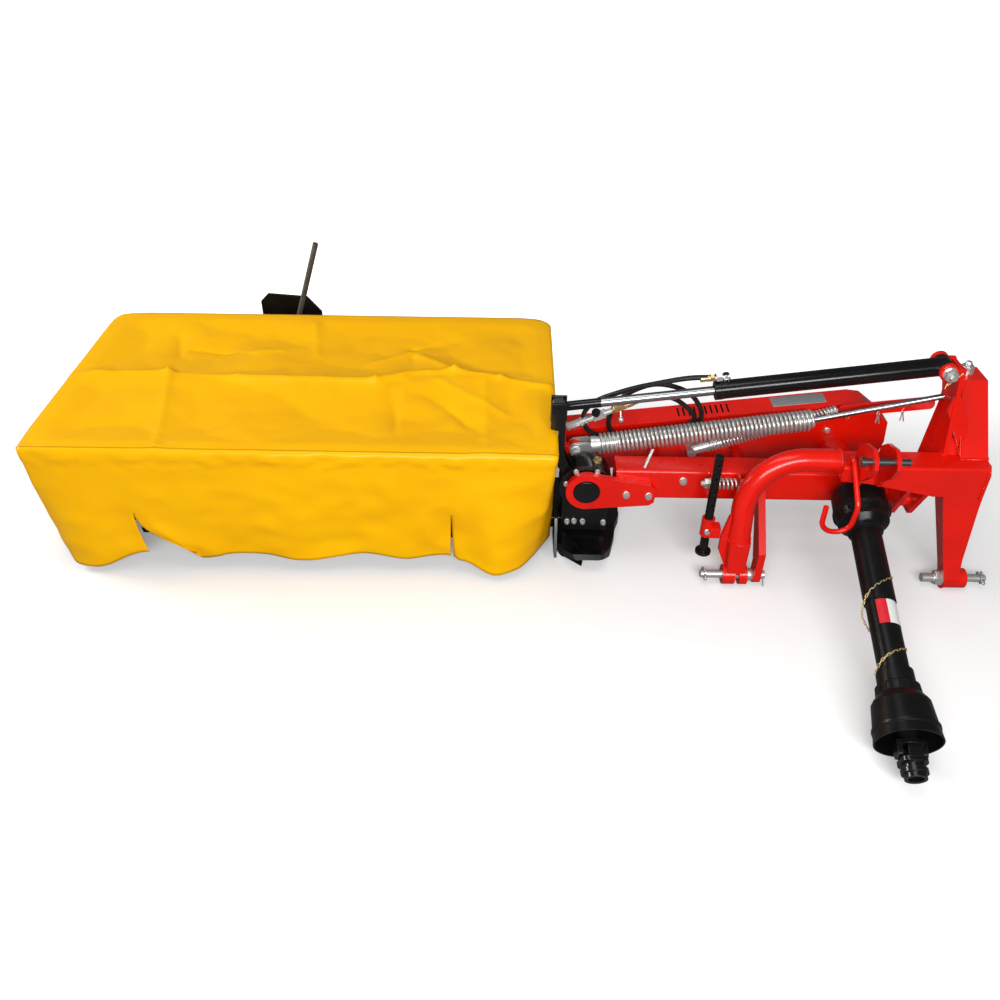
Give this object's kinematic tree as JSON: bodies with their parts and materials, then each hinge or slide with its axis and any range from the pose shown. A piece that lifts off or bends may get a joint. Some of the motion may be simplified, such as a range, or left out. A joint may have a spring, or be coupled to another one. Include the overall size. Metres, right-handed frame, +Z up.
{
  "type": "disc mower",
  "caption": "Three-point mounted disc mower with a side-folding cutter bar under a fabric guard, belt drive cover, lift cylinder, float springs and driveshaft.",
  "frame": {"origin": "middle of the footprint, on the floor", "axes": "X along the machine, cutter bar to -X and headstock to +X; Y to the rear, away from the tractor; Z up"},
  "size_m": [2.657, 1.9681, 0.6407],
  "materials": {
    "red_paint": "gloss paint",
    "black_paint": "gloss paint",
    "zinc_steel": "zinc plated",
    "amber_fabric": "gloss coated fabric",
    "chrome_rod": "hard chrome",
    "bare_steel": "bare steel",
    "black_plastic": "satin"
  },
  "bodies": {
    "frame": {"aux_anchor": "zinc_steel", "aux_spring": "zinc_steel", "belt_cover": "red_paint", "breakaway_bracket": "red_paint", "breakaway_spring": "zinc_steel", "clevis_lug": "red_paint", "cover_mounts": "red_paint", "cross_beam": "red_paint", "float_spring": "zinc_steel", "headstock_tube": "red_paint", "hinge_plates": "red_paint", "input_yoke": "black_paint", "left_brace": "red_paint", "left_foot": "red_paint", "main_beam": "red_paint", "pin_left": "zinc_steel", "pin_right": "zinc_steel", "pivot_arm": "red_paint", "right_leg": "red_paint", "shaft_hook": "red_paint", "spring_plugs": "zinc_steel", "spring_post": "red_paint", "spring_rod": "zinc_steel", "stand_socket": "red_paint", "strap": "red_paint", "top_link_bracket": "red_paint", "top_link_pin": "zinc_steel"},
    "cutter": {"cutter_bar": "black_paint", "bar_skids": "black_paint", "bar_gearbox": "black_paint", "hub_cap": "black_plastic", "inner_shoe": "black_paint", "outer_shoe": "black_paint", "canopy_frame": "black_paint", "canopy": "amber_fabric", "lift_ears": "black_paint", "swath_board": "black_paint", "swath_stick": "bare_steel"},
    "disc_a": {"disc_1": "bare_steel"},
    "disc_b": {"disc_2": "bare_steel"},
    "disc_c": {"disc_3": "bare_steel"},
    "barrel": {"cylinder_barrel": "black_paint"},
    "rod": {"cylinder_rod": "chrome_rod"},
    "stand": {"stand_leg": "black_paint"},
    "shaft_cross": {"joint_cross": "zinc_steel"},
    "shaft": {"guard_upper": "black_plastic"},
    "shaft_outer": {"guard_lower": "black_plastic", "outer_yoke": "black_paint"}
  },
  "joints": [
    {"name": "cutter_fold", "type": "hinge", "parent": "frame", "child": "cutter", "pos_m": [0.193, -0.164, 0.237], "axis": [0, 1, 0], "range_deg": [0, 75]},
    {"name": "disc_spin_1", "type": "hinge", "parent": "cutter", "child": "disc_a", "pos_m": [-0.18, 0.012, 0.094], "axis": [0, 0, 1], "continuous": true},
    {"name": "disc_spin_2", "type": "hinge", "parent": "cutter", "child": "disc_b", "pos_m": [-0.605, 0.012, 0.094], "axis": [0, 0, 1], "continuous": true},
    {"name": "disc_spin_3", "type": "hinge", "parent": "cutter", "child": "disc_c", "pos_m": [-1.03, 0.012, 0.094], "axis": [0, 0, 1], "continuous": true},
    {"name": "barrel_pivot", "type": "hinge", "parent": "frame", "child": "barrel", "pos_m": [1.098, -0.11, 0.616], "axis": [0, 1, 0], "range_deg": [-7.5, 0]},
    {"name": "rod_slide", "type": "slide", "parent": "barrel", "child": "rod", "axis": [0.99, 0, 0.1409], "range_m": [0, 0.2944]},
    {"name": "stand_slide", "type": "slide", "parent": "frame", "child": "stand", "axis": [0, 0, -1], "range_m": [0, 0.07]},
    {"name": "shaft_lift", "type": "hinge", "parent": "frame", "child": "shaft_cross", "pos_m": [0.93, -0.222, 0.262], "axis": [-1, 0, 0], "range_deg": [0, 15]},
    {"name": "shaft_swing", "type": "hinge", "parent": "shaft_cross", "child": "shaft", "pos_m": [0.93, -0.222, 0.262], "axis": [0, -0.2626, 0.9649], "range_deg": [0, 12]},
    {"name": "shaft_telescope", "type": "slide", "parent": "shaft", "child": "shaft_outer", "axis": [-0.0572, -0.9633, -0.2622], "range_m": [0, 0.1]}
  ],
  "couplings": [
    {"joint": "disc_spin_2", "follows": "disc_spin_1", "ratio": -1},
    {"joint": "disc_spin_3", "follows": "disc_spin_1", "ratio": 1},
    {"joint": "barrel_pivot", "follows": "cutter_fold", "ratio": -0.1},
    {"joint": "rod_slide", "follows": "cutter_fold", "m_per_rad": 0.22491}
  ]
}
